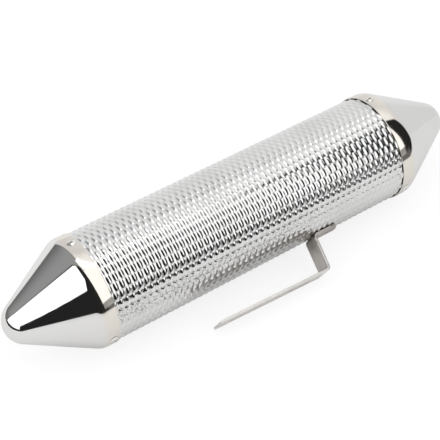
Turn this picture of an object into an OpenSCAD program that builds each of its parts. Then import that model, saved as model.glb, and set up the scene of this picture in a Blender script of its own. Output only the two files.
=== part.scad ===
// Metal guiro: an embossed sheet tube closed by two spun caps, with a bent strip handle.
// It lies on its two collars and on the handle, along X, with the table at Z = 0.

/* [Tube] */
// Radius over the crests of the embossed tube
tube_r = 37.5; // [30:0.5:45]
// Length of tube that shows between the two collars
tube_bare = 226; // [180:1:280]
// Thickness of the tube's sheet in the valleys
tube_wall = 0.4; // [0.3:0.1:0.8]
// Height of a crest above the valleys beside it
crest_h = 0.4; // [0.2:0.1:0.8]
// Crests in one row along the tube
crests_along = 52; // [20:1:52]
// Rows of crests round the tube
crest_rows = 40; // [24:2:40]
// Length of plain tube beyond the crests at each end
plain_end = 5.2; // [5:0.1:8]

/* [End caps] */
// Length of the collar, from its edge to the start of the cone
collar_len = 9.6; // [8:0.1:14]
// Thickness of the spun sheet
cap_wall = 0.6; // [0.4:0.1:1]
// Room between the collar and the tube's crests
collar_play = 0.1; // [0.05:0.05:0.3]
// Length of the cone, from the collar to the tip
cone_len = 51.5; // [40:0.5:80]
// Radius that rounds the fold between collar and cone
fold_r = 12; // [6:0.5:15]
// Radius of the rounded nose
nose_r = 15; // [8:0.5:18]

/* [Rivets] */
// Blind rivets round each collar
rivets = 3; // [2:1:6]
// Distance of the rivets from the collar's edge
rivet_in = 4.3; // [4:0.1:5]
// Diameter of a rivet's domed head
rivet_head_d = 6; // [5:0.1:7]
// Height of the domed head
rivet_head_h = 1.1; // [0.8:0.1:1.5]
// Diameter of a rivet's shank
rivet_d = 3.2; // [2.4:0.1:3.4]
// Diameter of the steel stem that is left in a rivet
stem_d = 1.8; // [1.4:0.1:2]
// Angle from the handle to the nearest rivet, over the front
rivet_turn = 12.3; // [0:0.1:60]

/* [Handle] */
// Width of the strip
strip_w = 18.5; // [12:0.5:20]
// Thickness of the strip
strip_t = 1.7; // [1.2:0.1:2.5]
// Inside radius of the two bends
bend_r = 2; // [1.5:0.1:4]
// Place along the tube where the leg leaves it
leg_x = 37.5; // [20:0.5:50]
// Room for the fingers between the tube and the bar, at the leg
finger_gap = 23.6; // [20:0.1:35]
// Lean of the leg towards the bar, from square
leg_lean = 6.8; // [0:0.1:10]
// Tilt of the bar towards the tube at its free end
bar_tilt = 1.7; // [0:0.1:5]
// Length of the bar from the leg to its free end
bar_len = 85; // [70:0.5:100]
// Length of the foot from the leg to its rounded end
foot_len = 20; // [17:0.5:27]
// Radius of the foot's two end corners
foot_corner_r = 6; // [2:0.5:8]
// Diameter of a spot weld between foot and tube
weld_d = 4; // [3:0.1:5]
// Distance between the two spot welds
weld_pitch = 8; // [5:0.1:9]

/* [Hidden] */
$fn = 96;

// Clearances and small sizes that follow from how the pieces go together
hole_play = 0.1;
past = 1;
weld_bite = 0.8;
dish_play = 0.02;
dish_steps = 7;
corner_steps = 4;
dimple_r = 9;
dimple_deep = 0.25;
blind_head_d = 4.4;
blind_head_h = 1.6;
stem_head_d = 2.8;
stem_head_h = 1;
stem_sunk = 0.35;
bend_steps = 8;

// Tube: the crests run just under the collars
tube_half = tube_bare / 2;
valley_r = tube_r - crest_h;
tube_in_r = valley_r - tube_wall;
crest_pitch = tube_bare / (crests_along - 1);
relief_half = crest_pitch * crests_along / 2;
tube_end = relief_half + plain_end;
row_turn = 360 / crest_rows;
seat_r = tube_in_r * cos(row_turn / 2);

// Cap profile: radius across, distance from the collar's edge along
collar_r = tube_r + collar_play + cap_wall;
tip_at = collar_len + cone_len;
nose_at = tip_at - nose_r;
cone_slope = atan2(collar_r, nose_at - collar_len)
             - asin(nose_r / norm([collar_r, nose_at - collar_len]));
fold_at = collar_len - fold_r * tan(cone_slope / 2);
cone_normal = unit(cone_slope);

// Rivet: the head sits on the collar and the blind head grips inside the tube
rivet_x = tube_half + rivet_in;
grip = collar_r - seat_r;
shank_len = grip + blind_head_h + past;

// Handle: how far each bend cuts in from the sharp corner of the strip's inner face
foot_turn = 90 - leg_lean;
bar_turn = 90 - leg_lean + bar_tilt;
outer_bend_r = bend_r + strip_t;
foot_bend_cut = outer_bend_r * tan(foot_turn / 2);
bar_bend_cut = bend_r * tan(bar_turn / 2);
bar_run = bar_len - bar_bend_cut;
weld_x = leg_x + (foot_len + foot_bend_cut) / 2;

// Rest: the outside of the lower bend touches the table together with both collars
bar_bend_at = tube_r + finger_gap - bar_bend_cut * sin(bar_tilt) - bend_r * cos(bar_tilt);
handle_reach = bar_bend_at + outer_bend_r;
edge_reach = norm([handle_reach, strip_w / 2]);
handle_turn = acos(collar_r / edge_reach) + atan2(strip_w / 2, handle_reach);
front_reach = handle_reach * sin(handle_turn) + strip_w / 2 * cos(handle_turn);
axis_y = (front_reach - collar_r) / 2;

steel = [0.80, 0.80, 0.79];
polished = [0.88, 0.88, 0.87];
rivet_grey = [0.70, 0.69, 0.66];
stem_grey = [0.35, 0.34, 0.33];
satin = [0.62, 0.61, 0.59];
weld_brown = [0.55, 0.47, 0.38];

function unit(angle) = [cos(angle), sin(angle)];

// Lays children made along the tube's own axis into place
module lay() translate([0, axis_y, collar_r]) children();

// Turns children so that their Z points out of the tube, at an angle from straight down to the front
module outward(turn) lay() rotate([180 - turn, 0, 0]) children();

// One place for each rivet of the collar on the given side, -1 near and 1 far
module at_rivets(side)
    for (i = [0 : rivets - 1])
        outward(handle_turn + rivet_turn + i * 360 / rivets) translate([side * rivet_x, 0, 0]) children();

// Relief points: valleys at the corners of the diamonds, crests at their middles,
// with every other row set back half a pitch and trimmed at the two ends
function ring_point(x, row, radius) = [x, radius * cos(row * row_turn), radius * sin(row * row_turn)];
function place_along(row, k) = -relief_half + (k - (row % 2) / 2) * crest_pitch;
function trimmed(x) = max(-relief_half, min(relief_half, x));
function valley(row, k) = ring_point(trimmed(place_along(row, k)), row, valley_r);
function crest(row, k) = ring_point(place_along(row, k + 0.5), row, tube_r);

// Sheet tube: staggered crests, and a plain stretch at each end for the collars
module crest_skin() {
    last = crests_along;
    n = crest_rows;
    rows = [0 : n - 1];
    rings = [[-relief_half, tube_r], [-tube_end, tube_r], [-tube_end, tube_in_r],
             [tube_end, tube_in_r], [tube_end, tube_r], [relief_half, tube_r]];
    points = concat(
        [for (j = rows) for (k = [0 : last + 1]) valley(j, k)],
        [for (j = rows) for (k = [0 : last - 1]) crest(j, k)],
        [for (ring = rings) for (j = rows) ring_point(ring[0], j, ring[1])]);
    first_crest = n * (last + 2);
    first_ring = first_crest + n * last;
    function row(j) = (j + n) % n;
    function v(j, k) = row(j) * (last + 2) + k;
    function c(j, k) = first_crest + row(j) * last + k;
    function r(ring, j) = first_ring + ring * n + row(j);
    function far_edge(j) = v(j, last + j % 2);
    diamonds = [for (j = rows) for (k = [j % 2 : last - 1]) let (m = k + 1 - j % 2)
                   each [[c(j, k), v(j, k), v(j + 1, m)], [c(j, k), v(j + 1, m), v(j, k + 1)],
                         [c(j, k), v(j, k + 1), v(j - 1, m)], [c(j, k), v(j - 1, m), v(j, k)]]];
    half_diamonds = [for (j = [1 : 2 : n - 1])
                        each [[v(j, 0), v(j + 1, 0), v(j, 1)], [v(j, 0), v(j, 1), v(j - 1, 0)],
                              [v(j, last + 1), v(j, last), v(j + 1, last)],
                              [v(j, last + 1), v(j - 1, last), v(j, last)]]];
    walls = [for (i = [0 : len(rings) - 2]) for (j = rows)
                [r(i, j), r(i + 1, j), r(i + 1, j + 1), r(i, j + 1)]];
    steps = [for (j = rows)
                each [[v(j, 0), r(0, j), r(0, j + 1), v(j + 1, 0)],
                      [r(len(rings) - 1, j), far_edge(j), far_edge(row(j + 1)), r(len(rings) - 1, j + 1)]]];
    polyhedron(points, concat(diamonds, half_diamonds, walls, steps), convexity = 10);
}

module body_tube()
    color(steel) difference() {
        outward(handle_turn) crest_skin();
        for (side = [-1, 1])
            at_rivets(side) cylinder(h = collar_r, d = rivet_d + hole_play);
        weld_spots() cylinder(h = tube_r, d = weld_d);
    }

// Half section of a cap, drawn in by the given depth
module cap_half(inset) {
    fold_centre = [collar_r - fold_r, fold_at];
    nose_centre = [0, nose_at];
    fold_tangent = fold_centre + (fold_r - inset) * cone_normal;
    nose_tangent = nose_centre + (nose_r - inset) * cone_normal;
    translate([0, inset > 0 ? -past : 0]) square([collar_r - inset, fold_at + (inset > 0 ? past : 0)]);
    intersection() {
        union() {
            translate(fold_centre) circle(fold_r - inset);
            translate(nose_centre) circle(nose_r - inset);
            polygon([[0, fold_at], [collar_r - fold_r, fold_at], fold_tangent, nose_tangent, [0, nose_at]]);
        }
        translate([0, fold_at]) square([collar_r, tip_at]);
    }
}

// Spun cap on the given side: collar, rounded fold, cone and nose in one thin shell
module end_cap(side)
    difference() {
        lay() translate([side * tube_half, 0, 0]) rotate([0, side * 90, 0]) rotate_extrude()
            difference() {
                cap_half(0);
                cap_half(cap_wall);
            }
        at_rivets(side) cylinder(h = collar_r + past, d = rivet_d + hole_play);
    }

module near_end_cap() color(polished) end_cap(-1);
module far_end_cap() color(polished) end_cap(1);

// Blind rivet: domed head outside, hollow shank, swollen blind head inside the tube
module rivet()
    difference() {
        union() {
            translate([0, 0, collar_r]) intersection() {
                dome_r = (pow(rivet_head_d / 2, 2) + pow(rivet_head_h, 2)) / (2 * rivet_head_h);
                translate([0, 0, rivet_head_h - dome_r]) sphere(dome_r);
                cylinder(h = rivet_head_h + past, d = rivet_head_d);
            }
            translate([0, 0, collar_r - shank_len]) cylinder(h = shank_len, d = rivet_d);
            translate([0, 0, seat_r - blind_head_h]) cylinder(h = blind_head_h, d = blind_head_d);
        }
        translate([0, 0, collar_r - shank_len - past])
            cylinder(h = shank_len + rivet_head_h + 2 * past, d = stem_d);
    }

// Steel stem left in the rivet, snapped off just below the top of the head
module rivet_stem() {
    stem_top = collar_r + rivet_head_h - stem_sunk;
    stem_foot = collar_r - shank_len;
    translate([0, 0, stem_foot]) cylinder(h = stem_top - stem_foot, d = stem_d);
    translate([0, 0, stem_foot - stem_head_h]) cylinder(h = stem_head_h, d = stem_head_d);
}

module near_cap_rivets() color(rivet_grey) at_rivets(-1) rivet();
module far_cap_rivets() color(rivet_grey) at_rivets(1) rivet();
module near_rivet_stems() color(stem_grey) at_rivets(-1) rivet_stem();
module far_rivet_stems() color(stem_grey) at_rivets(1) rivet_stem();

// One face of the bent strip in side view, from the foot's end round both bends to the bar's free end
function arc(centre, radius, from, turn) =
    [for (i = [0 : bend_steps]) centre + radius * unit(from + turn * i / bend_steps)];
function strip_face(foot_r, foot_depth, bar_depth) =
    let (foot_corner = [leg_x - dish_play * tan(leg_lean), tube_r + dish_play],
         foot_bend = foot_corner + [foot_bend_cut, outer_bend_r],
         bar_bend = [leg_x - finger_gap * tan(leg_lean) - bar_bend_cut * cos(bar_tilt) + bend_r * sin(bar_tilt),
                     bar_bend_at])
    concat([[leg_x + foot_len, foot_corner[1] + foot_depth]],
           arc(foot_bend, foot_r, -90, -foot_turn),
           arc(bar_bend, bar_depth, leg_lean, bar_turn),
           [bar_bend - bar_run * unit(bar_tilt) + bar_depth * unit(90 + bar_tilt)]);

// Bent strip: the foot and its bend are dished to lie round the tube, the leg and the bar are flat
module bent_strip() {
    faces = [strip_face(outer_bend_r, 0, bend_r), strip_face(bend_r, strip_t, outer_bend_r)];
    dished = bend_steps + 2;
    last = len(faces[0]) - 1;
    flat = last + 1 - dished;
    dish_r = tube_r + dish_play;
    corner_in = strip_w / 2 - foot_corner_r;
    corner_lines = [for (i = [0 : corner_steps]) corner_in + foot_corner_r * sin(90 * i / corner_steps)];
    lines = concat([for (i = [corner_steps : -1 : 0]) -corner_lines[i]],
                   [for (i = [1 : dish_steps - 1]) corner_in * (2 * i / dish_steps - 1)],
                   corner_lines);
    function drop(w) = dish_r - sqrt(pow(dish_r, 2) - pow(w, 2));
    function round_off(w) = foot_corner_r
        - sqrt(max(0, pow(foot_corner_r, 2) - pow(max(0, abs(w) - corner_in), 2)));
    function spot(p, w, down, back) = [p[0] + down * tan(leg_lean) - back, w, p[1] - down];
    points = concat(
        [for (w = lines) for (face = faces) for (k = [0 : dished - 1])
            spot(face[k], w, drop(w), k == 0 ? round_off(w) : 0)],
        [for (side = [-1, 1]) for (face = faces) for (k = [dished : last])
            spot(face[k], side * strip_w / 2, 0, 0)]);
    first_flat = len(lines) * 2 * dished;
    function at(face, k, j) = k < dished ? (2 * j + face) * dished + k
                                         : first_flat + (2 * (j > 0 ? 1 : 0) + face) * flat + k - dished;
    n = len(lines) - 1;
    foot = [for (j = [0 : n - 1])
               each concat([[at(0, 0, j), at(1, 0, j), at(1, 0, j + 1), at(0, 0, j + 1)]],
                           [for (k = [0 : dished - 2])
                               each [[at(0, k + 1, j), at(0, k, j), at(0, k, j + 1), at(0, k + 1, j + 1)],
                                     [at(1, k, j), at(1, k + 1, j), at(1, k + 1, j + 1), at(1, k, j + 1)]]])];
    leg = [concat([at(0, dished, 0)], [for (j = [0 : n]) at(0, dished - 1, j)], [at(0, dished, n)]),
           concat([at(1, dished, n)], [for (j = [n : -1 : 0]) at(1, dished - 1, j)], [at(1, dished, 0)])];
    bar = [for (k = [dished : last - 1])
              each [[at(0, k + 1, 0), at(0, k, 0), at(0, k, n), at(0, k + 1, n)],
                    [at(1, k, 0), at(1, k + 1, 0), at(1, k + 1, n), at(1, k, n)]]];
    bar_end = [[at(1, last, 0), at(0, last, 0), at(0, last, n), at(1, last, n)]];
    sides = [for (k = [0 : last - 1])
                each [[at(0, k, 0), at(0, k + 1, 0), at(1, k + 1, 0), at(1, k, 0)],
                      [at(1, k, n), at(1, k + 1, n), at(0, k + 1, n), at(0, k, n)]]];
    polyhedron(points, concat(foot, leg, bar, bar_end, sides), convexity = 6);
}

// One place for each spot weld, on the middle line of the foot
module weld_spots()
    for (i = [-1, 1]) outward(handle_turn) translate([weld_x + i * weld_pitch / 2, 0, 0]) children();

module handle_strip()
    color(satin) difference() {
        outward(handle_turn) bent_strip();
        weld_spots() cylinder(h = tube_r + weld_bite, d = weld_d);
        weld_spots() translate([0, 0, tube_r + strip_t + dimple_r - dimple_deep]) sphere(dimple_r);
    }

// Fused metal that joins the foot to the tube's wall
module handle_spot_welds()
    color(weld_brown) weld_spots()
        translate([0, 0, seat_r]) cylinder(h = tube_r + weld_bite - seat_r, d = weld_d);

body_tube();
near_end_cap();
far_end_cap();
near_cap_rivets();
far_cap_rivets();
near_rivet_stems();
far_rivet_stems();
handle_strip();
handle_spot_welds();
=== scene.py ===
# %% [markdown]
# A metal guiro: a tube rolled from embossed bright steel, closed by two polished spun caps. Blind
# rivets hold the caps, and a bent strip is welded on as the handle. A player scrapes the tube.
# The solids come first, as a fixed frame in metres. Each piece below is then made in the same
# place with the finish of the real one, and stands for its solid.

# %% Load the frame
import math

import bmesh
import bpy
import numpy as np
from mathutils import Matrix, Vector


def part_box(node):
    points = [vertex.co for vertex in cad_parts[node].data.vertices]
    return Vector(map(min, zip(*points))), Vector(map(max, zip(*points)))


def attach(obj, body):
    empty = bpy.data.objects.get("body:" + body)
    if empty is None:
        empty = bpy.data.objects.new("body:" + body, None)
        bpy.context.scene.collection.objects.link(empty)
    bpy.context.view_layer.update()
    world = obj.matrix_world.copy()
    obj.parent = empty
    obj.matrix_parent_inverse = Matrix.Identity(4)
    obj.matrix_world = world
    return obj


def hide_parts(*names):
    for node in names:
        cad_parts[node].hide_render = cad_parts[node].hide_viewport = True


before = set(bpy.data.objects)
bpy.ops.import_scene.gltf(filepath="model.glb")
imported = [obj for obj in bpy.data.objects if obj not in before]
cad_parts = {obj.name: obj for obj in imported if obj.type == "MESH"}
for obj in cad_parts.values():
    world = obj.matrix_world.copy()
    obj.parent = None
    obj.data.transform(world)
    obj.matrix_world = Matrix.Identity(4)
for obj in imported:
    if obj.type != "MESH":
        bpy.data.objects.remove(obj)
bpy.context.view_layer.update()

scene = bpy.context.scene
print("solids:", sorted(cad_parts))

# %% [markdown]
# Everything but the handle is built round the tube's axis, so that axis is measured first: the
# middle of a collar gives its place. A direction round the tube is an angle from straight down,
# growing towards the front. The welds lie on the handle's middle line, so they give its angle.

# %% Measure the axis and the handle's direction
MM = 0.001

near_low, near_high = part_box("near_end_cap")
far_low, far_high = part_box("far_end_cap")
AXIS_Y = (near_low.y + near_high.y) / 2
AXIS_Z = (near_low.z + near_high.z) / 2
COLLAR_R = (near_high.z - near_low.z) / 2
COLLAR_EDGE = far_low.x
CAP_LEN = far_high.x - far_low.x

weld_low, weld_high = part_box("handle_spot_welds")
weld_mid = (weld_low + weld_high) / 2
HANDLE_TURN = math.atan2(AXIS_Y - weld_mid.y, AXIS_Z - weld_mid.z)


def outward(turn):
    """Unit vector away from the axis, at an angle from straight down to the front."""
    return Vector((0, -math.sin(turn), -math.cos(turn)))


print("axis y %.4f z %.4f, collar radius %.4f" % (AXIS_Y, AXIS_Z, COLLAR_R))
print("handle at %.2f degrees" % math.degrees(HANDLE_TURN))

# %% [markdown]
# Node trees are easier to read when one line makes a node, sets it and wires it. These helpers do
# that for shapes and finishes alike. A value that is itself a socket becomes a link.

# %% Helpers for node trees
def feed(tree, socket, value):
    """Links a socket to the value if that is a socket too, and otherwise sets it."""
    if isinstance(value, bpy.types.NodeSocket):
        tree.links.new(value, socket)
    else:
        socket.default_value = value


def put(tree, kind, feeds=None, **settings):
    """Adds a node with these settings, and sets or links its inputs."""
    made = tree.nodes.new(kind)
    for name, value in settings.items():
        setattr(made, name, value)
    for key, value in (feeds or {}).items():
        feed(tree, made.inputs[key], value)
    return made


def open_group(name, kind, inputs, outputs):
    """A new node group with named inputs (name, socket type, default) and outputs (name, type)."""
    tree = bpy.data.node_groups.new(name, kind)
    for title, socket_type, default in inputs:
        made = tree.interface.new_socket(title, in_out="INPUT", socket_type="NodeSocket" + socket_type)
        if default is not None:
            made.default_value = default
    for title, socket_type in outputs:
        tree.interface.new_socket(title, in_out="OUTPUT", socket_type="NodeSocket" + socket_type)
    return tree, put(tree, "NodeGroupInput").outputs, put(tree, "NodeGroupOutput").inputs


print("node helpers ready")

# %% [markdown]
# Most nodes below do one small step: a sum, a length, a noise, a range, a mix of two colours. Each
# kind gets a short name here, so that a tree reads like a formula.

# %% Helpers for formulas made of nodes
PLAIN_RESULTS = ("LENGTH", "DISTANCE", "DOT_PRODUCT")


def calc(tree, operation, *terms):
    """One step of arithmetic."""
    return put(tree, "ShaderNodeMath", dict(enumerate(terms)), operation=operation).outputs[0]


def vec(tree, operation, *terms):
    """One step of vector arithmetic, which gives a vector or a plain number."""
    made = put(tree, "ShaderNodeVectorMath", dict(enumerate(terms)), operation=operation)
    return made.outputs["Value" if operation in PLAIN_RESULTS else "Vector"]


def split(tree, vector):
    """The x, y and z of a vector."""
    return put(tree, "ShaderNodeSeparateXYZ", {0: vector}).outputs


def joined(tree, x, y, z):
    """A vector from x, y and z."""
    return put(tree, "ShaderNodeCombineXYZ", {0: x, 1: y, 2: z}).outputs[0]


def noise(tree, place, scale, detail, roughness=0.5):
    """Cloudy values about 0.5. The scale is how many patches there are to a metre."""
    feeds = {"Vector": place, "Scale": scale, "Detail": detail, "Roughness": roughness}
    return put(tree, "ShaderNodeTexNoise", feeds).outputs["Fac"]


def ramp(tree, value, low, high, to_low=0.0, to_high=1.0):
    """Eases a value from one range to another."""
    feeds = {"Value": value, "From Min": low, "From Max": high, "To Min": to_low, "To Max": to_high}
    return put(tree, "ShaderNodeMapRange", feeds, interpolation_type="SMOOTHSTEP").outputs["Result"]


def blend(tree, share, first, second):
    """Mixes two colours."""
    made = put(tree, "ShaderNodeMix", {0: share}, data_type="RGBA")
    for socket, colour in zip([s for s in made.inputs if s.type == "RGBA"], (first, second)):
        feed(tree, socket, (*colour, 1) if isinstance(colour, tuple) else colour)
    return next(s for s in made.outputs if s.type == "RGBA")


print("formula helpers ready")

# %% [markdown]
# Fine scratches are on every metal piece here: polishing, rolling and handling leave them. They
# could be drawn one by one, but stretched noise gives thousands for nothing. The group reads a
# place that the material has already stretched, and gives a height for bump and a mask for gloss.

# %% Shader group: fine scratches
scratches, given, result = open_group(
    "Fine scratches", "ShaderNodeTree",
    [("Place", "Vector", None), ("Fineness", "Float", 900.0)],
    [("Height", "Float"), ("Mask", "Float")])
lines = noise(scratches, given["Place"], given["Fineness"], detail=3.0, roughness=0.6)
patches = noise(scratches, given["Place"], scale=45.0, detail=2.0)
scratched = ramp(scratches, patches, 0.42, 0.68)
feed(scratches, result["Height"], lines)
feed(scratches, result["Mask"], calc(scratches, "MULTIPLY", lines, scratched))
print("made", scratches.name)

# %% [markdown]
# Hands and cloths leave a faint haze that dulls the shine in soft patches. Large noise, broken by
# a smaller one, gives patches with no hard edge. Every finish places this group with its own size.

# %% Shader group: handling haze
haze, given, result = open_group(
    "Handling haze", "ShaderNodeTree",
    [("Place", "Vector", None), ("Size", "Float", 35.0)],
    [("Mask", "Float"), ("Grain", "Float")])
broad = noise(haze, given["Place"], given["Size"], detail=4.0)
grain = noise(haze, given["Place"], scale=420.0, detail=3.0)
broken = calc(haze, "MULTIPLY", ramp(haze, broad, 0.40, 0.72), calc(haze, "ADD", grain, 0.35))
feed(haze, result["Mask"], broken)
feed(haze, result["Grain"], grain)
print("made", haze.name)

# %% [markdown]
# Spot welding heats the strip for a moment, and an oxide grows on it: dark grey at the spot, paling
# to straw further out. The tint follows the distance from a weld, roughened by noise.

# %% Shader group: heat tint
HOT_OXIDE, STRAW_OXIDE = (0.36, 0.34, 0.35), (0.60, 0.56, 0.50)

heat, given, result = open_group(
    "Heat tint", "ShaderNodeTree",
    [("Place", "Vector", None), ("Weld", "Vector", None), ("Reach", "Float", 0.011)],
    [("Colour", "Color"), ("Mask", "Float")])
away = calc(heat, "DIVIDE", vec(heat, "DISTANCE", given["Place"], given["Weld"]), given["Reach"])
stir = calc(heat, "SUBTRACT", noise(heat, given["Place"], scale=260.0, detail=3.0), 0.5)
uneven = calc(heat, "MULTIPLY_ADD", stir, 0.7, away)
feed(heat, result["Colour"], blend(heat, uneven, HOT_OXIDE, STRAW_OXIDE))
feed(heat, result["Mask"], ramp(heat, uneven, 1.05, 0.55))
print("made", heat.name)

# %% [markdown]
# Every finish here is bare metal, so each is one Principled shader with full Metallic. Only its
# colour, roughness and bump change over the surface. One helper opens such a material and hands
# back what most trees need, the shader and the place on the piece. Another wires the result in.

# %% Helpers: a bare metal
def cleared(owner):
    """The emptied node tree of a material or a world."""
    owner.use_nodes = True
    owner.node_tree.nodes.clear()
    return owner.node_tree


def bare_metal(name):
    """A new metal: the material, its tree, its shader and the place on the piece."""
    made = bpy.data.materials.new(name)
    tree = cleared(made)
    shader = put(tree, "ShaderNodeBsdfPrincipled", {"Metallic": 1.0})
    put(tree, "ShaderNodeOutputMaterial", {"Surface": shader.outputs[0]})
    return made, tree, shader, put(tree, "ShaderNodeTexCoord").outputs["Object"]


def group_in(tree, group, **feeds):
    """Places a shader group in a material."""
    return put(tree, "ShaderNodeGroup", feeds, node_tree=group).outputs


def stretched(tree, place, scale):
    """The place on the piece, squeezed so that noise on it draws out into lines."""
    return put(tree, "ShaderNodeMapping", {"Vector": place, "Scale": scale}).outputs[0]


def finish(tree, shader, colour, gloss, height, strength, depth):
    """Wires colour, roughness and a bump of this strength and depth into the shader."""
    bump = put(tree, "ShaderNodeBump", {"Height": height, "Strength": strength, "Distance": depth})
    for name, value in (("Base Color", colour), ("Roughness", gloss), ("Normal", bump.outputs[0])):
        feed(tree, shader.inputs[name], value)


print("metal helpers ready")

# %% [markdown]
# The tube's sheet is bright rolled stainless. Embossing leaves the lands slightly wavy and a faint
# crease between two rows, so they blur what they reflect, and scraping polishes the crests. The
# distance from the axis, in Object coordinates, tells crest from land. The angle round the axis
# tells how near a crease or the bar is.

# %% Embossed sheet: find the crests, the rows and the bar
TUBE_R = 37.5 * MM
CREST_H = 0.50 * MM
CREST_ROWS = 40
ROW_TURN = 2 * math.pi / CREST_ROWS
FIRST_ROW = HANDLE_TURN - math.radians(1.25)

embossed_sheet, tree, shader, place = bare_metal("bright_embossed_steel")
centred = vec(tree, "ADD", place, (0, -AXIS_Y, -AXIS_Z))
across = vec(tree, "MULTIPLY", centred, (0, 1, 1))
from_axis = vec(tree, "LENGTH", across)
on_crest = ramp(tree, from_axis, TUBE_R - 0.6 * CREST_H, TUBE_R)
along, behind, above = split(tree, centred)
turn = calc(tree, "ARCTAN2", *(calc(tree, "MULTIPLY", part, -1.0) for part in (behind, above)))
row = calc(tree, "DIVIDE", calc(tree, "SUBTRACT", turn, FIRST_ROW), ROW_TURN)
from_row = calc(tree, "PINGPONG", row, 0.5)
near_bar = calc(tree, "DIVIDE", vec(tree, "DOT_PRODUCT", across, outward(HANDLE_TURN)), from_axis)
print("crests stand %.2f mm high in %d rows" % (CREST_H / MM, CREST_ROWS))

# %% [markdown]
# The crests are a little brighter than the lands, and haze dulls both in patches. On both sides of
# the bar a band of dark specks is painted on, most from its middle to the near end: a painted
# reflection of the dark room, standing for the dark flecks that the emboss mirrors there.

# %% Embossed sheet: colour
LAND, CREST = (0.74, 0.74, 0.735), (0.80, 0.80, 0.795)
HAZED_SHEET, PAINTED_DARK_FLECK = (0.70, 0.695, 0.68), (0.36, 0.35, 0.34)

dull = group_in(tree, haze, Place=place, Size=28.0)
specks = noise(tree, place, scale=900.0, detail=2.0)
# Painted reflection: a band of dark specks on both sides of the bar, stronger towards the near end.
dark_fleck_band = calc(tree, "MULTIPLY", ramp(tree, near_bar, 0.57, 0.70), ramp(tree, near_bar, 0.90, 0.82))
dark_fleck_band = calc(tree, "MULTIPLY", dark_fleck_band, ramp(tree, along, 0.0, 0.09, 1.0, 0.3))
painted_dark_flecks = calc(tree, "MULTIPLY", dark_fleck_band, ramp(tree, specks, 0.45, 0.66))
colour = blend(tree, on_crest, LAND, CREST)
colour = blend(tree, dull["Mask"], colour, HAZED_SHEET)
colour = blend(tree, painted_dark_flecks, colour, PAINTED_DARK_FLECK)
print("colours of", embossed_sheet.name, "mixed")

# %% [markdown]
# A low noise bump makes the waves of the lands, with fine scratches on them. The crease between two
# rows is broken by the same specks as the scuffs. Haze and scratches roughen, scraping smooths.

# %% Embossed sheet: gloss and bump
marks = group_in(tree, scratches, Place=stretched(tree, place, (1, 0.12, 0.12)), Fineness=1100.0)
gloss = calc(tree, "MULTIPLY_ADD", dull["Mask"], 0.04, 0.06)
gloss = calc(tree, "MULTIPLY_ADD", marks["Mask"], 0.04, gloss)
gloss = calc(tree, "MULTIPLY_ADD", on_crest, -0.02, gloss)
waves = noise(tree, place, scale=520.0, detail=2.0)
crease = calc(tree, "MULTIPLY", ramp(tree, from_row, 0.41, 0.5), ramp(tree, specks, 0.35, 0.60))
height = calc(tree, "MULTIPLY_ADD", marks["Height"], 0.12, waves)
height = calc(tree, "SUBTRACT", height, crease)
finish(tree, shader, colour, gloss, height, strength=0.7, depth=0.10 * MM)
print("made", embossed_sheet.name)

# %% [markdown]
# The caps are spun from sheet and mirror polished on the cone. The short collar keeps the warmer,
# slightly duller look of the bare metal. Both are one material: the distance along the axis fades
# one into the other at the fold, and hair-fine rings show which way the wheel turned.

# %% Finish: polished cap
FADE_START, FADE_END = 7.9 * MM, 11.4 * MM
COLLAR_TONES = (0.73, 0.69, 0.635), (0.78, 0.74, 0.685)
CONE_TONES = (0.755, 0.75, 0.745), (0.735, 0.73, 0.72)

polished_cap, tree, shader, place = bare_metal("mirror_steel")
along = split(tree, place)[0]
past_edge = calc(tree, "SUBTRACT", calc(tree, "ABSOLUTE", along), COLLAR_EDGE)
on_cone = ramp(tree, past_edge, FADE_START, FADE_END)
marks = group_in(tree, scratches, Place=stretched(tree, place, (1, 0.015, 0.015)), Fineness=1500.0)
dull = group_in(tree, haze, Place=place, Size=22.0)
collar_tone = blend(tree, dull["Grain"], *COLLAR_TONES)
cone_tone = blend(tree, dull["Mask"], *CONE_TONES)
gloss = ramp(tree, on_cone, 0.0, 1.0, 0.075, 0.035)
gloss = calc(tree, "MULTIPLY_ADD", dull["Mask"], 0.035, gloss)
gloss = calc(tree, "MULTIPLY_ADD", marks["Mask"], 0.03, gloss)
finish(tree, shader, blend(tree, on_cone, collar_tone, cone_tone), gloss, marks["Height"],
       strength=0.05, depth=0.02 * MM)
print("made", polished_cap.name)

# %% [markdown]
# The rivets are bright aluminium, pressed and slightly satin, with fine marks all ways. The stem
# left in each one is snapped steel: dull, dark and grainy.

# %% Finishes: rivet and stem
ALUMINIUM, DULL_ALUMINIUM = (0.84, 0.825, 0.795), (0.70, 0.685, 0.65)
BROKEN_STEEL, BROKEN_GLINT = (0.26, 0.25, 0.24), (0.42, 0.40, 0.38)

rivet_body, tree, shader, place = bare_metal("pressed_aluminium")
marks = group_in(tree, scratches, Place=place, Fineness=2600.0)
dull = group_in(tree, haze, Place=place, Size=160.0)
colour = blend(tree, dull["Mask"], ALUMINIUM, DULL_ALUMINIUM)
gloss = ramp(tree, dull["Mask"], 0.0, 1.0, 0.16, 0.30)
finish(tree, shader, colour, gloss, marks["Height"], strength=0.12, depth=0.04 * MM)

rivet_stem, tree, shader, place = bare_metal("snapped_steel")
rough = group_in(tree, haze, Place=place, Size=900.0)
colour = blend(tree, rough["Mask"], BROKEN_STEEL, BROKEN_GLINT)
gloss = ramp(tree, rough["Grain"], 0.3, 0.7, 0.38, 0.62)
finish(tree, shader, colour, gloss, rough["Grain"], strength=0.6, depth=0.10 * MM)
print("made", rivet_body.name, "and", rivet_stem.name)

# %% [markdown]
# The handle is mill-finish strip with grain along its length, edges rubbed bright by hands, and
# heat tint at the foot. Its UV map carries the length and the width, so the grain turns with the
# bends, and an edge attribute on its mesh marks the rounded edges.

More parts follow.
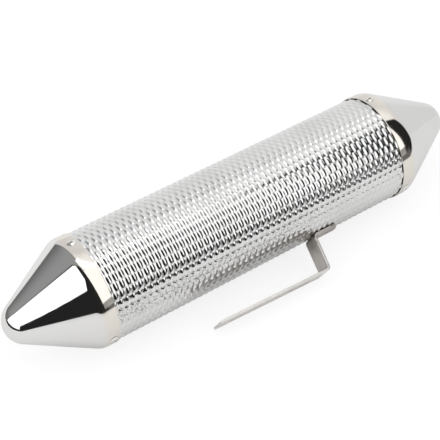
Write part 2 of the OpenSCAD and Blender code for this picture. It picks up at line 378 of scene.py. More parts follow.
# %% Finish: handle strip
WELD_STEP, TINT_SHARE = 4 * MM, 0.95
STRIP_DARK, STRIP_LIGHT = (0.77, 0.735, 0.70), (0.86, 0.825, 0.785)
HAZED_STRIP, RUBBED_EDGE = (0.66, 0.63, 0.60), (0.74, 0.73, 0.71)
weld_spots = [weld_mid + Vector((side * WELD_STEP, 0, 0)) for side in (-1, 1)]


def heat_tinted(tree, place, colour, reach):
    """Lays the heat tint of both welds over a colour."""
    for spot in weld_spots:
        tint = group_in(tree, heat, Place=place, Weld=spot, Reach=reach)
        share = calc(tree, "MULTIPLY", tint["Mask"], TINT_SHARE)
        colour = blend(tree, share, colour, tint["Colour"])
    return colour


handle_steel, tree, shader, place = bare_metal("mill_finish_steel")
strip_map = put(tree, "ShaderNodeUVMap", uv_map="strip").outputs[0]
marks = group_in(tree, scratches, Place=stretched(tree, strip_map, (0.05, 1, 1)), Fineness=2400.0)
dull = group_in(tree, haze, Place=place, Size=60.0)
edge = put(tree, "ShaderNodeAttribute", attribute_name="edge").outputs["Fac"]
colour = blend(tree, marks["Height"], STRIP_DARK, STRIP_LIGHT)
colour = blend(tree, calc(tree, "MULTIPLY", dull["Mask"], 0.6), colour, HAZED_STRIP)
colour = heat_tinted(tree, place, blend(tree, edge, colour, RUBBED_EDGE), reach=16 * MM)
gloss = ramp(tree, marks["Height"], 0.3, 0.7, 0.46, 0.56)
gloss = calc(tree, "MULTIPLY_ADD", edge, -0.08, gloss)
finish(tree, shader, colour, gloss, marks["Height"], strength=0.18, depth=0.05 * MM)
print("made", handle_steel.name)

# %% [markdown]
# A spot weld is fused metal, brown and grainy, with the same heat tint drawn tighter round it.

# %% Finish: spot weld
FUSED, BURNT = (0.50, 0.42, 0.33), (0.34, 0.27, 0.22)

weld_metal, tree, shader, place = bare_metal("weld_metal")
rough = group_in(tree, haze, Place=place, Size=500.0)
colour = heat_tinted(tree, place, blend(tree, rough["Mask"], FUSED, BURNT), reach=4 * MM)
gloss = ramp(tree, rough["Grain"], 0.3, 0.7, 0.32, 0.55)
finish(tree, shader, colour, gloss, rough["Grain"], strength=0.5, depth=0.08 * MM)
print("made", weld_metal.name)

# %% [markdown]
# The tube is the part that is played: rows of raised ovals, each row set half a pitch off the
# next, so that their tips lie between one another. Displacing a fine grid would blur the ovals or
# need millions of faces. Instead one small tile is drawn flat, one oval in a long six-sided piece
# of land. Its rim points match those of its neighbours, as in a honeycomb, and the foot of the
# oval is a sharp edge, so the lands stay flat.

# %% One tile of the emboss
CRESTS_ALONG = 55
PITCH = 226 * MM / 51
ROW_ARC = 2 * math.pi * TUBE_R / CREST_ROWS
OVAL_W, OVAL_L = 3.32 * MM, 6.70 * MM
FLANK, END = 1.10 * MM, 1.60 * MM  # how far the oval's shoulder lies in from its foot
SHOULDER = 0.92  # its height, as a share of the crest's
SQUARENESS = 0.66  # below 1 the oval is fuller than an ellipse
LOCK = 0.18  # how far a tile's tips reach between its neighbours
RING = 16


def fuller(value):
    """Pushes a cosine outwards, which makes an ellipse squarer."""
    return math.copysign(abs(value) ** SQUARENESS, value)


flat_v, tip_v = 1 - LOCK, 1 + LOCK
half_rim = [(1, 0), (1, flat_v / 2), (1, flat_v), (.5, 1),
            (0, tip_v), (-.5, 1), (-1, flat_v), (-1, flat_v / 2)]
tile_rim = half_rim + [(-u, -v) for u, v in half_rim]
rings = [[(u * PITCH / 2, v * ROW_ARC / 2, -CREST_H) for u, v in tile_rim]]
ring_angles = [k * 2 * math.pi / RING for k in range(RING)]
for narrower, shorter, height in ((0, 0, 0), (FLANK, END, SHOULDER)):
    rings.append([((OVAL_W / 2 - narrower) * fuller(math.cos(a)),
                   (OVAL_L / 2 - shorter) * math.sin(a),
                   (height - 1) * CREST_H) for a in ring_angles])
print("rings: %d of %d points" % (len(rings), RING))

# %% [markdown]
# The tile's rim and the oval's foot and shoulder are rings of sixteen points. Faces join each ring
# to the next and close the top round one point.

# %% Skin the tile
tile_points = [p for ring in rings for p in ring] + [(0, 0, 0)]
tile_faces = []
for k in range(RING):
    after = (k + 1) % RING
    for ring in (0, RING):
        tile_faces.append((ring + k, ring + after, ring + RING + after, ring + RING + k))
    tile_faces.append((2 * RING + k, 2 * RING + after, 3 * RING))
tile = bpy.data.meshes.new("emboss_tile")
tile.from_pydata(tile_points, [], tile_faces)
oval_foot = range(RING, 2 * RING)
for line in tile.edges:
    line.use_edge_sharp = all(v in oval_foot for v in line.vertices)
print("tile: %d faces for one oval" % len(tile.polygons))

# %% [markdown]
# Geometry Nodes lay the tile out as a rolling mill does: points in staggered rows, and one tile on
# each. A grid gives the points. Every second row moves on by half a pitch.

# %% Geometry Nodes: emboss the flat sheet
def form(tree, kind, **feeds):
    """One step of a shape: what a node makes from these inputs."""
    return put(tree, kind, feeds).outputs[0]


roll, given, result = open_group(
    "Embossed sheet", "GeometryNodeTree",
    [("Geometry", "Geometry", None), ("Pitch", "Float", PITCH), ("Row arc", "Float", ROW_ARC),
     ("Rows", "Int", CREST_ROWS), ("Crests", "Int", CRESTS_ALONG), ("Radius", "Float", TUBE_R),
     ("Axis y", "Float", AXIS_Y), ("Axis z", "Float", AXIS_Z), ("First row", "Float", 0.0),
     ("Shift", "Float", 0.0), ("Material", "Material", None)],
    [("Geometry", "Geometry")])
row_arc = given["Row arc"]
long_side = calc(roll, "MULTIPLY", calc(roll, "SUBTRACT", given["Crests"], 1.0), given["Pitch"])
short_side = calc(roll, "MULTIPLY", calc(roll, "SUBTRACT", given["Rows"], 1.0), row_arc)
lattice = form(roll, "GeometryNodeMeshGrid", **{
    "Size X": long_side, "Size Y": short_side, "Vertices X": given["Crests"], "Vertices Y": given["Rows"]})
x, y, z = split(roll, form(roll, "GeometryNodeInputPosition"))
from_first = calc(roll, "ADD", y, calc(roll, "DIVIDE", short_side, 2.0))
row = calc(roll, "ROUND", calc(roll, "DIVIDE", from_first, row_arc))
even = calc(roll, "SUBTRACT", 1.0, calc(roll, "MODULO", row, 2.0))
half_pitch = calc(roll, "DIVIDE", given["Pitch"], 2.0)
set_back = calc(roll, "ADD", calc(roll, "MULTIPLY", even, half_pitch), given["Shift"])
spots = joined(roll, calc(roll, "ADD", x, set_back), calc(roll, "MULTIPLY", row, row_arc), 0.0)
staggered = form(roll, "GeometryNodeSetPosition", Geometry=lattice, Position=spots)
tiles = form(roll, "GeometryNodeInstanceOnPoints", Points=staggered, Instance=given["Geometry"])
sheet = form(roll, "GeometryNodeRealizeInstances", Geometry=tiles)
print("flat sheet:", len(roll.nodes), "nodes")

# %% [markdown]
# The flat sheet is then rolled round the axis: its width becomes an angle and its relief a radius.
# Merging the rims closes the sheet, and the long seam with it. The first row is turned so that the
# rows fall as they do on the real tube.

# %% Geometry Nodes: roll the sheet
SEAM_GAP = 0.01 * MM

row_turn = calc(roll, "DIVIDE", 2 * math.pi, given["Rows"])
past_first = calc(roll, "MULTIPLY", calc(roll, "DIVIDE", y, row_arc), row_turn)
turn = calc(roll, "ADD", given["First row"], past_first)
reach = calc(roll, "ADD", given["Radius"], z)
sideways = calc(roll, "MULTIPLY", reach, calc(roll, "SINE", turn))
downwards = calc(roll, "MULTIPLY", reach, calc(roll, "COSINE", turn))
wrapped = joined(roll, x, calc(roll, "SUBTRACT", given["Axis y"], sideways),
                 calc(roll, "SUBTRACT", given["Axis z"], downwards))
rolled = form(roll, "GeometryNodeSetPosition", Geometry=sheet, Position=wrapped)
closed = form(roll, "GeometryNodeMergeByDistance", Geometry=rolled, Distance=SEAM_GAP)
smooth = form(roll, "GeometryNodeSetShadeSmooth", Geometry=closed)
painted = form(roll, "GeometryNodeSetMaterial", Geometry=smooth, Material=given["Material"])
feed(roll, result["Geometry"], painted)
print("tree", roll.name, "has", len(roll.nodes), "nodes")

# %% [markdown]
# A tree does nothing until a modifier runs it. The helper puts the tree on a start mesh, fills its
# inputs by socket identifier, and turns the evaluated result into a plain mesh without the modifier.
# Another helper says which solid a piece stands for.

# %% Helpers: run a tree on a mesh, and stand for a solid
def add_object(name, data):
    """A new object in the scene."""
    made = bpy.data.objects.new(name, data)
    scene.collection.objects.link(made)
    return made


def grown(name, start, tree, **values):
    """An object whose mesh is what the tree makes from the start mesh."""
    made = add_object(name, start)
    modifier = made.modifiers.new("shape", "NODES")
    modifier.node_group = tree
    for item in tree.interface.items_tree:
        key = item.name.replace(" ", "_").lower()
        if item.in_out == "INPUT" and key in values:
            modifier[item.identifier] = values[key]
    bpy.context.view_layer.update()
    ready = made.evaluated_get(bpy.context.evaluated_depsgraph_get())
    mesh = bpy.data.meshes.new_from_object(ready)
    made.modifiers.clear()
    made.data = mesh
    mesh.name = name
    return made


def stands_for(piece, slot, *nodes):
    """The piece rides on the one body and replaces these solids. The slot is not used."""
    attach(piece, "root")
    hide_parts(*nodes)


print("tree helpers ready")

# %% [markdown]
# Run on the tile, the tree makes the whole sheet, a little too long. The sheet is moved along by an
# eighth of a pitch, where the ovals of the real tube stand.

# %% The embossed sheet
ROW_SHIFT = 0.125 * PITCH

tube = grown("embossed_tube", tile, roll, pitch=PITCH, row_arc=ROW_ARC, rows=CREST_ROWS,
             crests=CRESTS_ALONG, radius=TUBE_R, axis_y=AXIS_Y, axis_z=AXIS_Z,
             first_row=FIRST_ROW, shift=ROW_SHIFT, material=embossed_sheet)
print("sheet: %d faces" % len(tube.data.polygons))

# %% [markdown]
# The sheet is cut square just under each collar, where it cannot be seen, and then given a plain
# end and an inner wall, so the tube is a closed thin shell like the real one.

# %% Trim the tube and close its wall
RELIEF_END = 115.2 * MM
TUBE_END = 120.4 * MM
PLAIN_R = TUBE_R - 0.1 * MM
TUBE_IN_R = 36.7 * MM
TOUCHING = 1e-7
AT_CUT = RELIEF_END - 0.01 * MM

work = bmesh.new()
work.from_mesh(tube.data)
for side in (-1, 1):
    geometry = work.verts[:] + work.edges[:] + work.faces[:]
    bmesh.ops.bisect_plane(work, geom=geometry, dist=TOUCHING, plane_co=(side * RELIEF_END, 0, 0),
                           plane_no=(side, 0, 0), clear_outer=True)
end_loops = []
for side in (-1, 1):
    loop = [e for e in work.edges if e.is_boundary and all(v.co.x * side > AT_CUT for v in e.verts)]
    for radius in (PLAIN_R, TUBE_IN_R):
        added = bmesh.ops.extrude_edge_only(work, edges=loop)["geom"]
        for point in [g for g in added if isinstance(g, bmesh.types.BMVert)]:
            spoke = Vector((0, point.co.y - AXIS_Y, point.co.z - AXIS_Z)).normalized()
            point.co = Vector((side * TUBE_END, AXIS_Y, AXIS_Z)) + radius * spoke
        loop = [g for g in added if isinstance(g, bmesh.types.BMEdge)]
    end_loops += loop
bmesh.ops.bridge_loops(work, edges=end_loops)
for face in work.faces:
    face.smooth = True
    if min(abs(v.co.x) for v in face.verts) > AT_CUT:
        for line in face.edges:
            line.smooth = False
bmesh.ops.recalc_face_normals(work, faces=work.faces)
open_edges = sum(e.is_boundary for e in work.edges)
triangles = sum(len(f.verts) - 2 for f in work.faces)
work.to_mesh(tube.data)
work.free()
stands_for(tube, "embossed_sheet", "body_tube")
print("tube: %d triangles, %d open edges" % (triangles, open_edges))

# %% [markdown]
# Caps, rivets and stems are turned shapes: one section swept round a line. Turning them in code
# keeps every ring a true circle, which a mirror finish needs.

# %% Helpers: turn a section round a line
def turned(points, steps):
    """A closed mesh from a closed section of (distance from the line, distance along it) points."""
    made = bmesh.new()
    columns = []
    for k in range(steps):
        a = 2 * math.pi * k / steps
        columns.append([made.verts.new((r * math.cos(a), r * math.sin(a), along)) for r, along in points])
    for k in range(steps):
        here, there = columns[k], columns[(k + 1) % steps]
        for i in range(len(points)):
            j = (i + 1) % len(points)
            made.faces.new((here[i], there[i], there[j], here[j]))
    bmesh.ops.remove_doubles(made, verts=made.verts, dist=TOUCHING)
    bmesh.ops.dissolve_degenerate(made, edges=made.edges, dist=TOUCHING)
    bmesh.ops.recalc_face_normals(made, faces=made.faces)
    for face in made.faces:
        face.smooth = True
    return made


def bow(centre, radius, start, stop, steps):
    """Points on an arc, in degrees."""
    angles = np.radians(np.linspace(start, stop, steps))
    return [(centre[0] + radius * math.cos(a), centre[1] + radius * math.sin(a)) for a in angles]


def mesh_from(work, name):
    """A mesh from a working shape, which is then let go."""
    mesh = bpy.data.meshes.new(name)
    work.to_mesh(mesh)
    work.free()
    return mesh


print("turning helpers ready")

# %% [markdown]
# A cap's section is a thin line of steel: a straight collar with a rounded rim, a fold, a straight
# cone and a round nose. The cone's slope follows from where it meets the collar's line and touches
# the nose. The same section makes both caps, one facing each way.

# %% Both caps
CAP_WALL = 0.6 * MM
FOLD_R, NOSE_R = 12 * MM, 15 * MM
COLLAR_LEN = 9.6 * MM
CAP_STEPS, FOLD_STEPS, NOSE_STEPS, RIM_STEPS = 192, 14, 22, 9

nose_at = CAP_LEN - NOSE_R
slope = math.degrees(math.atan2(COLLAR_R, nose_at - COLLAR_LEN)
                     - math.asin(NOSE_R / math.hypot(COLLAR_R, nose_at - COLLAR_LEN)))
fold_at = COLLAR_LEN - FOLD_R * math.tan(math.radians(slope / 2))


def cap_line(inset):
    """The section's outer line, or the inner one, from the rim to the nose."""
    fold = bow((COLLAR_R - FOLD_R, fold_at), FOLD_R - inset, 0, slope, FOLD_STEPS)
    nose = bow((0, nose_at), NOSE_R - inset, slope, 90, NOSE_STEPS)
    return fold + nose


half_wall = CAP_WALL / 2
collar_rim = bow((COLLAR_R - half_wall, half_wall), half_wall, -180, 0, RIM_STEPS)
cap_section = collar_rim + cap_line(0) + cap_line(CAP_WALL)[::-1]
for side, name, node in ((-1, "near_spun_cap", "near_end_cap"), (1, "far_spun_cap", "far_end_cap")):
    work = turned(cap_section, CAP_STEPS)
    along_axis = Matrix.Rotation(math.radians(90 * side), 4, "Y")
    work.transform(Matrix.Translation((side * COLLAR_EDGE, AXIS_Y, AXIS_Z)) @ along_axis)
    mesh = mesh_from(work, name)
    mesh.materials.append(polished_cap)
    stands_for(add_object(name, mesh), "polished_cap", node)
    print(name, "cone leans %.1f degrees," % slope, len(mesh.polygons), "faces")

# %% [markdown]
# Three blind rivets hold each collar, set from outside because the tube is closed. Geometry Nodes
# place them round the collar with the stems inside them, so one tree serves all four sets: only
# the mesh and the side differ.

# %% Geometry Nodes: set pieces round a collar
RIVETS = 3

setting, given, result = open_group(
    "Rivet setting", "GeometryNodeTree",
    [("Geometry", "Geometry", None), ("Count", "Int", RIVETS), ("First turn", "Float", 0.0),
     ("Place", "Float", 0.0), ("Axis y", "Float", AXIS_Y), ("Axis z", "Float", AXIS_Z),
     ("Material", "Material", None)],
    [("Geometry", "Geometry")])
on_axis = joined(setting, given["Place"], given["Axis y"], given["Axis z"])
seats = form(setting, "GeometryNodePoints", Count=given["Count"], Position=on_axis)
number = form(setting, "GeometryNodeInputIndex")
step = calc(setting, "DIVIDE", 2 * math.pi, given["Count"])
turn = calc(setting, "ADD", given["First turn"], calc(setting, "MULTIPLY", number, step))
pointing = joined(setting, calc(setting, "SUBTRACT", math.pi, turn), 0.0, 0.0)
spin = form(setting, "FunctionNodeEulerToRotation", Euler=pointing)
set_round = form(setting, "GeometryNodeInstanceOnPoints",
                 Points=seats, Instance=given["Geometry"], Rotation=spin)
real = form(setting, "GeometryNodeRealizeInstances", Geometry=set_round)
painted = form(setting, "GeometryNodeSetMaterial", Geometry=real, Material=given["Material"])
feed(setting, result["Geometry"], painted)
print("tree", setting.name, "has", len(setting.nodes), "nodes")

# %% [markdown]
# A blind rivet is a hollow turned body. Its domed head lies on the collar, its shank goes through
# both sheets, and behind them it swells where the stem was pulled in. The bore's mouth in the head
# has a rounded lip. Distances along a section are counted from the tube's axis.

# %% Section of a rivet
HEAD_R, HEAD_H = 2.96 * MM, 1.09 * MM
HEAD_RIM, LIP_R = 0.15 * MM, 0.25 * MM
RIM_IN, RIM_UP = 0.08 * MM, 0.06 * MM
SHANK_R, BORE_R = 1.6 * MM, 0.9 * MM
BLIND_R, BLIND_H, BLIND_EASE = 2.2 * MM, 1.6 * MM, 0.3 * MM
SEAT_R = TUBE_IN_R * math.cos(math.pi / CREST_ROWS)
BLIND_LOW = SEAT_R - BLIND_H
SHANK_END = BLIND_LOW - 1.0 * MM
DOME_STEPS, LIP_STEPS = 12, 5

dome_r = (HEAD_R ** 2 + HEAD_H ** 2) / (2 * HEAD_H)
dome_mid = COLLAR_R + HEAD_H - dome_r
dome_low = math.degrees(math.asin((COLLAR_R + HEAD_RIM - dome_mid) / dome_r))
dome_top = math.degrees(math.acos((BORE_R + LIP_R) / dome_r))
dome = bow((0, dome_mid), dome_r, dome_low, dome_top, DOME_STEPS)
lip = bow((BORE_R + LIP_R, dome[-1][1] - LIP_R), LIP_R, 80, 180, LIP_STEPS)
shank = [(BORE_R, SHANK_END), (SHANK_R, SHANK_END)]
blind_end = [(SHANK_R, BLIND_LOW), (BLIND_R - BLIND_EASE, BLIND_LOW), (BLIND_R, BLIND_LOW + BLIND_EASE),
             (BLIND_R, SEAT_R), (SHANK_R, SEAT_R)]
under_head = [(SHANK_R, COLLAR_R), (HEAD_R - RIM_IN, COLLAR_R), (HEAD_R, COLLAR_R + RIM_UP)]
rivet_section = shank + blind_end + under_head + dome + lip
print("rivet section:", len(rivet_section), "points")

# %% [markdown]
# The stem has a wider head that stays behind the shank's end. Its top is where it snapped off, with
# a raised rim and a hollow middle, a little below the rivet's mouth.

# %% Section of a stem
STEM_R = BORE_R - 0.02 * MM
STEM_TOP = COLLAR_R + HEAD_H - 0.35 * MM
STEM_HEAD_R, STEM_HEAD_H, STEM_EASE = 1.4 * MM, 1.0 * MM, 0.2 * MM
SNAP_LOW, SNAP_IN = 0.15 * MM, 0.12 * MM
HOLLOW_R, HOLLOW_RIM, HOLLOW_DEEP = 0.4 * MM, 0.12 * MM, 0.20 * MM

stem_low, stem_seat = SHANK_END - STEM_HEAD_H, SHANK_END - 0.01 * MM
stem_head = [(0, stem_low), (STEM_HEAD_R - STEM_EASE, stem_low), (STEM_HEAD_R, stem_low + STEM_EASE),
             (STEM_HEAD_R, stem_seat), (STEM_R, stem_seat)]
snapped_top = [(STEM_R, STEM_TOP - SNAP_LOW), (STEM_R - SNAP_IN, STEM_TOP),
               (HOLLOW_R, STEM_TOP - HOLLOW_RIM), (0, STEM_TOP - HOLLOW_DEEP)]
stem_section = stem_head + snapped_top
print("stem section:", len(stem_section), "points")

# %% [markdown]
# Both sections are turned once, with sharp corners kept crisp, and set three times round each
# collar. The first rivet stands a little further round to the front than the handle.

# %% Rivets and stems
RIVET_X = 117.3 * MM
FIRST_RIVET = HANDLE_TURN + math.radians(12.3)
CRISP_CORNER = math.radians(40)


def turned_mesh(name, section, steps):
    """A turned mesh whose sharp corners stay crisp."""
    work = turned(section, steps)
    for line in work.edges:
        line.smooth = len(line.link_faces) == 2 and line.calc_face_angle(0.0) < CRISP_CORNER
    return mesh_from(work, name)


rivet_mesh = turned_mesh("rivet", rivet_section, steps=40)
stem_mesh = turned_mesh("stem", stem_section, steps=28)
for side, end in ((-1, "near"), (1, "far")):
    for name, node, slot, mesh, metal in (
            ("rivet_heads", "cap_rivets", "rivet_body", rivet_mesh, rivet_body),
            ("snapped_stems", "rivet_stems", "rivet_stem", stem_mesh, rivet_stem)):
        piece = grown(end + "_" + name, mesh, setting, count=RIVETS, first_turn=FIRST_RIVET,
                      place=side * RIVET_X, axis_y=AXIS_Y, axis_z=AXIS_Z, material=metal)
        stands_for(piece, slot, end + "_" + node)
        print(piece.name, len(piece.data.polygons), "faces")

# %% [markdown]
# The handle is one steel strip with two bends: a foot that lies on the tube, a leg, and a bar that
# four fingers hold. The leg leans a little and the bar tilts a little, so both bends miss a right
# angle. Their centres follow from the lines of foot, leg and bar, as (along the tube, from its axis).

# %% The handle's bends
STRIP_W, STRIP_T = 18.5 * MM, 1.7 * MM
MID_BEND_R = 2.85 * MM
LEG_X, FOOT_LEN, BAR_LEN = 37.5 * MM, 20 * MM, 85 * MM
FINGER_GAP = 23.6 * MM
LEAN, TILT = 6.8, 1.7  # degrees
DISH_R = TUBE_R + 0.02 * MM

inner_r, outer_r = MID_BEND_R - STRIP_T / 2, MID_BEND_R + STRIP_T / 2
foot_turn, bar_turn = 90 - LEAN, 90 - LEAN + TILT
foot_cut = outer_r * math.tan(math.radians(foot_turn / 2))
bar_cut = inner_r * math.tan(math.radians(bar_turn / 2))
tilt_cos, tilt_sin = math.cos(math.radians(TILT)), math.sin(math.radians(TILT))
foot_bend = (LEG_X + foot_cut, DISH_R + outer_r)
leg_top = LEG_X - FINGER_GAP * math.tan(math.radians(LEAN))
bar_bend = (leg_top - bar_cut * tilt_cos + inner_r * tilt_sin,
            TUBE_R + FINGER_GAP - bar_cut * tilt_sin - inner_r * tilt_cos)
print("bends turn %.1f and %.1f degrees" % (foot_turn, bar_turn))

# %% [markdown]
# The strip is swept along its own middle line, from the foot's end, through both bends, to the
# bar's free end. Stations stand closer at the foot's rounded corners and in the bends.

# %% The handle's middle line
CORNER_R, CORNER_STEP = 6 * MM, 6
FOOT_STEPS, BEND_STEPS, LEG_STEPS, BAR_STEPS = 22, 13, 12, 40

foot_end = LEG_X + FOOT_LEN
corner_start = foot_end - CORNER_R
corner = [corner_start + CORNER_R * math.sin(math.radians(a)) for a in range(90, 0, -CORNER_STEP)]
flat = list(np.linspace(corner_start, foot_bend[0], FOOT_STEPS))
foot_line = [(x, DISH_R + STRIP_T / 2) for x in corner + flat]
first_bend = bow(foot_bend, MID_BEND_R, -90, -90 - foot_turn, BEND_STEPS)[1:]
second_bend = bow(bar_bend, MID_BEND_R, LEAN, LEAN + bar_turn, BEND_STEPS)
leg = [tuple(p) for p in np.linspace(first_bend[-1], second_bend[0], LEG_STEPS)[1:-1]]
bar_start, bar_way = np.array(second_bend[-1]), np.array((tilt_cos, tilt_sin))
bar_run = BAR_LEN - bar_cut
bar = [tuple(bar_start - t * bar_run * bar_way) for t in np.linspace(0, 1, BAR_STEPS)[1:]]
middle = np.array(foot_line + first_bend + leg + second_bend + bar)
along = np.concatenate([[0], np.cumsum(np.linalg.norm(np.diff(middle, axis=0), axis=1))])
print("strip is %.1f mm long, flat" % (along[-1] / MM))

# %% [markdown]
# The section that travels along that line is flat with rounded edges. Each of its points also says
# whether it is on an edge, which the finish uses.

# %% The strip's section
EDGE_R = 0.35 * MM
ACROSS = 28
EDGE_ANGLES = np.arange(22.5, 180, 22.5)


def strip_section(half_width, half_thick, round_r):
    """Points (across, out of the face, on an edge) round the strip's section."""
    points = []
    for side, quarter_turns in ((1, 1), (-1, 3)):
        for t in np.linspace(-1, 1, ACROSS):
            points.append((side * -t * (half_width - round_r), side * half_thick, 0.0))
        for a in np.radians(90 * quarter_turns + EDGE_ANGLES):
            lift = math.copysign(half_thick - round_r, math.sin(a))
            points.append((-side * (half_width - round_r) + round_r * math.cos(a),
                           round_r * math.sin(a) + lift, 1.0))
    return points


print("section:", 2 * (ACROSS + len(EDGE_ANGLES)), "points")

# %% [markdown]
# The foot and its bend are dished to lie round the tube, so their sections sag towards the edges,
# and up the leg the sag fades out. Near the foot's end the section narrows, which rounds the
# corners, and two shallow dimples show where the welding tips pressed.

# %% Place a section on the line
DIMPLE_R, DIMPLE_DEEP = 2.1 * MM, 0.25 * MM

heading = np.gradient(middle, along, axis=0)
heading /= np.linalg.norm(heading, axis=1)[:, None]
out_dir, side_dir = outward(HANDLE_TURN), outward(HANDLE_TURN + math.pi / 2)
base = Vector((0, AXIS_Y, AXIS_Z))
slide = math.tan(math.radians(LEAN))
leg_start = len(foot_line) + len(first_bend)


def half_width_at(i):
    """Half the strip's width at a station."""
    into_end = max(0.0, middle[i][0] - corner_start) if i < len(corner) else 0.0
    return STRIP_W / 2 - CORNER_R + math.sqrt(max(0.0, CORNER_R ** 2 - into_end ** 2))


def strip_spot(i, w, n):
    """Where a section's point lies: w across the strip and n out of its face, at a station."""
    (x, r), (tx, tr) = middle[i], heading[i]
    dished = min(1.0, max(0.0, 1 - (i + 1 - leg_start) / len(leg)))
    drop = dished * (DISH_R - math.sqrt(DISH_R ** 2 - w ** 2))
    spot = base + Vector((x + n * tr + drop * slide, 0, 0)) + out_dir * (r - n * tx - drop) + side_dir * w
    if n > 0 and i < len(foot_line):
        for weld in weld_spots:
            near = math.hypot(spot.x - weld.x, w) / DIMPLE_R
            spot -= out_dir * DIMPLE_DEEP * max(0.0, 1 - near ** 2)
    return spot


print("stations:", len(middle))

# %% [markdown]
# One loop of points stands at every station, and faces join each loop to the next. The two end
# loops are drawn in slightly, which breaks the end corners, and are closed by a flat face. Every
# corner of a face gets its length and width on the strip as its UV.

# %% Sweep the strip
END_ROUND = 0.2 * MM

work = bmesh.new()
uv = work.loops.layers.uv.new("strip")
edge_layer = work.verts.layers.float.new("edge")
loops = []
for i in range(len(middle)):
    shrink = END_ROUND if i in (0, len(middle) - 1) else 0.0
    loop = []
    section = strip_section(half_width_at(i) - shrink, STRIP_T / 2 - shrink, EDGE_R - shrink / 2)
    for w, n, on_edge in section:
        point = work.verts.new(strip_spot(i, w, n))
        point[edge_layer] = 1.0 if shrink else on_edge
        loop.append((point, (along[i], w)))
    loops.append(loop)


def add_face(corners):
    """A face on these corners, each a point and its place on the flat strip."""
    face = work.faces.new([point for point, on_strip in corners])
    for face_corner, (point, on_strip) in zip(face.loops, corners):
        face_corner[uv].uv = on_strip
    return face


for here, there in zip(loops, loops[1:]):
    for k in range(len(here)):
        after = (k + 1) % len(here)
        add_face((here[k], here[after], there[after], there[k])).smooth = True
for loop in (loops[0], loops[-1]):
    for line in add_face(loop).edges:
        line.smooth = False
bmesh.ops.recalc_face_normals(work, faces=work.faces)
mesh = mesh_from(work, "bent_handle")
mesh.materials.append(handle_steel)
stands_for(add_object("bent_handle", mesh), "handle_steel", "handle_strip")
print("handle:", len(mesh.polygons), "faces")

# %% [markdown]
# The two spot welds are only a stain between the foot and the tube, and their solid has the right
# shape already, so it stays and only gets its finish.

# %% Finish the welds
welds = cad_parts["handle_spot_welds"]
welds.data.materials.clear()
welds.data.materials.append(weld_metal)
print("welds keep", len(welds.data.polygons), "faces")

# %% [markdown]
# Mirror metal shows its surroundings, so the studio matters as much as the finish. The guiro lies
# on a white table. Two large soft boxes light it: one stands on the left, and a long one leans over
# it from the front right, in three panels that are brightest in the middle. The panels are given by
# where they start and end on the long box.

# %% Soft boxes
LONG_MID, LONG_WAY = Vector((0.1295, -0.3395, 0.5169)), Vector((-0.245, 0.732, 0.636))
LONG_FACING, LONG_WIDTH = (0, 0.656, -0.755), 0.464
LONG_PANELS = (("long_low", -0.62, -0.40, 0.35), ("long_mid", -0.40, 0.42, 1.35),
               ("long_top", 0.42, 1.20, 1.0))


def pose(at, right, up, back):
    """The place and turn of a lamp or a camera that looks away from its back."""
    return Matrix.Translation(at) @ Matrix((right, up, back)).transposed().to_4x4()


def soft_box(name, centre, facing, up, width, height, radiance):
    """An area lamp of a given brightness that faces one way, hidden from the camera itself."""
    lamp = bpy.data.lights.new(name, "AREA")
    lamp.shape = "RECTANGLE"
    lamp.size, lamp.size_y = width, height
    lamp.energy = radiance * math.pi * width * height
    back = -Vector(facing).normalized()
    across = Vector(up).cross(back).normalized()
    box = add_object(name, lamp)
    box.matrix_world = pose(centre, across, back.cross(across), back)
    box.visible_camera = False


soft_box("left_box", centre=(-0.75, -0.05, 0.725), facing=(1, 0, 0), up=(0, 0, 1),
         width=0.80, height=1.25, radiance=1.6)
for name, start, stop, radiance in LONG_PANELS:
    panel_mid = LONG_MID + LONG_WAY * (start + stop) / 2
    soft_box(name, panel_mid, LONG_FACING, LONG_WAY, LONG_WIDTH, stop - start, radiance)

# %% [markdown]
# The world is the room round the table. In the metal it shows a white wall at the back right and a
# grey one at the back left, both lighter higher up. The white wall also grows lighter to the right,
# but low down it has a lighter patch near its middle and a darker right end. A faint glow lies under
# the long box, and the rest is dark. Directions are azimuths from +Y to +X.

# %% World: the room that the metal shows
DARK_ROOM = 0.02

world = bpy.data.worlds.new("studio")
scene.world = world
tree = cleared(world)
look = put(tree, "ShaderNodeTexCoord").outputs["Generated"]
level = vec(tree, "NORMALIZE", vec(tree, "MULTIPLY", look, (1, 1, 0)))
rise = split(tree, look)[2]


def towards(azimuth, spread, soft):
    """1 for directions within a spread of an azimuth, in degrees, with a soft edge."""
    a = math.radians(azimuth)
    facing = vec(tree, "DOT_PRODUCT", level, (math.sin(a), math.cos(a), 0))
    edge_at = math.cos(math.radians(spread))
    return ramp(tree, facing, edge_at - soft, edge_at + soft)


along_wall = ramp(tree, towards(85, 50, 0.12), 0, 1, 0.795, 0.88)
wall_light = calc(tree, "ADD", along_wall, ramp(tree, rise, 0.74, 0.93, 0.0, 0.26))
lighter = calc(tree, "MULTIPLY", towards(38, 18, 0.05), ramp(tree, rise, 0.72, 0.50, 0.0, 0.08))
darker = calc(tree, "MULTIPLY", towards(88, 34, 0.06), ramp(tree, rise, 0.60, 0.40, 0.0, 0.06))
wall_light = calc(tree, "SUBTRACT", calc(tree, "ADD", wall_light, lighter), darker)
white_wall = calc(tree, "MULTIPLY", towards(46, 52, 0.04), wall_light)
grey_wall = calc(tree, "MULTIPLY", towards(-32, 26, 0.03), ramp(tree, rise, -0.1, 0.65, 0.15, 0.34))
low_glow = calc(tree, "MULTIPLY", towards(148, 13, 0.012), ramp(tree, rise, 0.28, 0.05, 0.0, 0.15))
walls = calc(tree, "MAXIMUM", white_wall, grey_wall)
room = calc(tree, "ADD", calc(tree, "MAXIMUM", walls, low_glow), DARK_ROOM)
print("room has", len(tree.nodes), "nodes")

# %% [markdown]
# To the camera the world is plain white, and to matt surfaces it is an even soft light. Only the
# metal's mirror rays see the room. Light Path tells these apart.

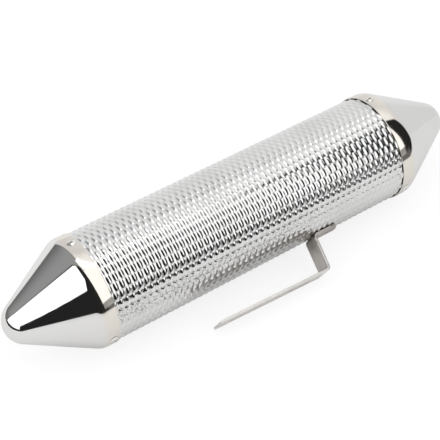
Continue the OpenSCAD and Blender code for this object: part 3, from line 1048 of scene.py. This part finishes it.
# %% World: what each ray sees
EVEN_LIGHT, BACKDROP = 0.9, 1.0


def rays(tree):
    """1 for what the camera sees itself, and 1 for what the metal mirrors."""
    path = put(tree, "ShaderNodeLightPath").outputs
    return calc(tree, "MAXIMUM", path["Is Camera Ray"], path["Is Transmission Ray"]), path["Is Glossy Ray"]


seen, in_metal = rays(tree)
light = put(tree, "ShaderNodeMix", {0: in_metal, 2: EVEN_LIGHT, 3: room}).outputs[0]
strength = put(tree, "ShaderNodeMix", {0: seen, 2: light, 3: BACKDROP}).outputs[0]
backdrop = put(tree, "ShaderNodeBackground", {"Color": (1, 1, 1, 1), "Strength": strength})
put(tree, "ShaderNodeOutputWorld", {"Surface": backdrop.outputs[0]})
print("world:", world.name)

# %% [markdown]
# The table is a plain white sheet that ends not far from the guiro, as its dark edge in the caps
# shows. It lies a hair below the guiro, so that the two never share a face.

# %% Table
(X0, Y0), (X1, Y1) = (-0.62, -0.88), (0.95, 1.05)
TABLE_DROP = 0.2 * MM

table_mesh = bpy.data.meshes.new("table")
table_corners = [(x, y, -TABLE_DROP) for x, y in ((X0, Y0), (X1, Y0), (X1, Y1), (X0, Y1))]
table_mesh.from_pydata(table_corners, [], [(0, 1, 2, 3)])
table = add_object("table", table_mesh)
print("table %.2f by %.2f m" % (X1 - X0, Y1 - Y0))

# %% [markdown]
# The sheet is matt, and to the camera a share of it glows, so that it stays white in the picture
# while the guiro's soft shadow still lies on it. In the metal it carries painted shade: darker than
# to the camera, most in front and least on the right, standing for light that falls more on the
# back and the right of the table.

# %% Finish: white sheet
GLOW_SHARE = 0.80
SHEET_WHITE = (0.9, 0.9, 0.9)
MIRRORED_SHADE_FRONT, MIRRORED_SHADE_BACK, MIRRORED_SHADE_RIGHT = (0.68,) * 3, (0.80,) * 3, (0.85,) * 3

white_sheet = bpy.data.materials.new("white_sheet")
tree = cleared(white_sheet)
seen, in_metal = rays(tree)
to_right, to_back = split(tree, put(tree, "ShaderNodeTexCoord").outputs["Object"])[:2]
# Painted shade seen only in the metal: the sheet darker in front, lighter behind and to the right.
painted_mirror_shade = blend(tree, ramp(tree, to_back, 0.05, 0.40), MIRRORED_SHADE_FRONT, MIRRORED_SHADE_BACK)
painted_mirror_shade = blend(tree, ramp(tree, to_right, 0.2, 0.9), painted_mirror_shade, MIRRORED_SHADE_RIGHT)
sheet_tone = blend(tree, in_metal, SHEET_WHITE, painted_mirror_shade)
matt = put(tree, "ShaderNodeBsdfDiffuse", {"Color": sheet_tone})
glow = put(tree, "ShaderNodeEmission")
share = calc(tree, "MULTIPLY", seen, GLOW_SHARE)
mix = put(tree, "ShaderNodeMixShader", {0: share, 1: matt.outputs[0], 2: glow.outputs[0]})
put(tree, "ShaderNodeOutputMaterial", {"Surface": mix.outputs[0]})
table_mesh.materials.append(white_sheet)
print("made", white_sheet.name)

# %% [markdown]
# The camera stands at the near end, in front and well above, as for the photograph. Its place and
# angle were found by matching the outline, so it is given as a point, a bearing, a dip and a roll.

# %% Camera
CAMERA_AT = (-0.333751, -0.473182, 0.661960)
BEARING, DIP, ROLL, FIELD = (math.radians(a) for a in (33.542, 46.929, -0.655, 19.479))

forward = Vector((math.sin(BEARING) * math.cos(DIP), math.cos(BEARING) * math.cos(DIP), -math.sin(DIP)))
right = forward.cross(Vector((0, 0, 1))).normalized()
up = right.cross(forward)
right, up = (right * math.cos(ROLL) + up * math.sin(ROLL), up * math.cos(ROLL) - right * math.sin(ROLL))
lens = bpy.data.cameras.new("camera")
lens.sensor_fit = "HORIZONTAL"
lens.angle = FIELD
lens.clip_start, lens.clip_end = 0.01, 50
camera = add_object("camera", lens)
camera.matrix_world = pose(CAMERA_AT, right, up, -forward)
scene.camera = camera
scene.view_settings.view_transform = "Standard"
print("camera looks", tuple(round(c, 3) for c in forward))
